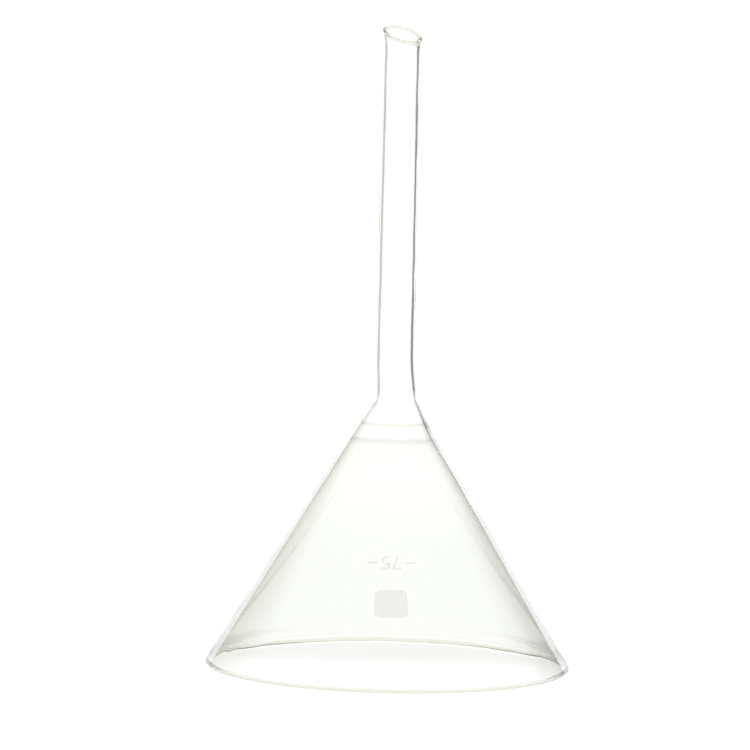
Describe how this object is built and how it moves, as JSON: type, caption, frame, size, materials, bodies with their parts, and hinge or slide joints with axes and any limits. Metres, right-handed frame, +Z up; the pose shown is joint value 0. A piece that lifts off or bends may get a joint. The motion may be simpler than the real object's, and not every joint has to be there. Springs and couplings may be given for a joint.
{
  "type": "glass funnel",
  "caption": "Clear glass laboratory funnel: a wide cone with a rolled rim, sealed to a straight stem with a slanted, fire-polished tip, stood mouth down.",
  "frame": {"origin": "centre of the rim's plane, which is the plane the funnel stands on, mouth down", "axes": "+Z up along the stem, away from the mouth; -Y is the side that carries the print; +X is the side where the slanted tip is lowest"},
  "size_m": [0.075, 0.075, 0.132],
  "materials": {
    "clear_glass": "clear, fire-polished",
    "fired_enamel": "satin, thin pale grey print"
  },
  "bodies": {
    "root": {"bowl": "clear_glass", "stem": "clear_glass", "enamel_digit_7": "fired_enamel", "enamel_digit_5": "fired_enamel", "enamel_rule_left": "fired_enamel", "enamel_rule_right": "fired_enamel", "enamel_marking_spot": "fired_enamel"}
  },
  "joints": []
}
